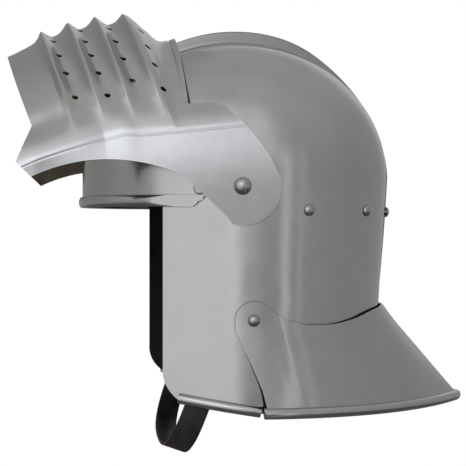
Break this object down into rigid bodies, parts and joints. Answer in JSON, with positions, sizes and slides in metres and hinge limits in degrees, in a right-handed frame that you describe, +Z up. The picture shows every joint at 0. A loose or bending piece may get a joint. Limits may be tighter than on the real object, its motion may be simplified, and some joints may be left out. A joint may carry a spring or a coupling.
{
  "type": "sallet helmet",
  "caption": "Steel sallet with a medial comb, long cheeks, brow plate, fluted and vented visor that pivots at the temples, flared pivoted tail plate and leather chin strap.",
  "frame": {"origin": "inside of the crown's apex, where a head carries the helmet", "axes": "+Z up, -Y the front where the face looks out, +X the wearer's left; X = 0 is the plane of symmetry"},
  "size_m": [0.2166, 0.3659, 0.3416],
  "materials": {
    "satin_steel": "satin, lightly brushed and worn",
    "rivet_steel": "satin",
    "black_leather": "smooth, dyed black"
  },
  "bodies": {
    "helmet": {"skull": "satin_steel", "brow_plate": "satin_steel", "chin_strap": "black_leather", "pivot_rivet_left": "rivet_steel", "pivot_rivet_right": "rivet_steel", "skull_rivet_left": "rivet_steel", "skull_rivet_right": "rivet_steel", "skull_rivet_rear": "rivet_steel", "skull_rivet_rear_left": "rivet_steel", "skull_rivet_rear_right": "rivet_steel", "brow_rivet_left": "rivet_steel", "brow_rivet_right": "rivet_steel", "tail_rivet_left": "rivet_steel", "tail_rivet_right": "rivet_steel", "strap_rivet_left": "rivet_steel", "strap_rivet_right": "rivet_steel"},
    "visor": {"visor": "satin_steel"},
    "tail": {"tail_plate": "satin_steel"}
  },
  "joints": [
    {"name": "visor_pivot", "type": "hinge", "parent": "helmet", "child": "visor", "pos_m": [0, -0.0095, -0.1145], "axis": [1, 0, 0], "range_deg": [0, 84]},
    {"name": "tail_pivot", "type": "hinge", "parent": "helmet", "child": "tail", "pos_m": [0, -0.0015, -0.2104], "axis": [-1, 0, 0], "range_deg": [0, 5]}
  ]
}
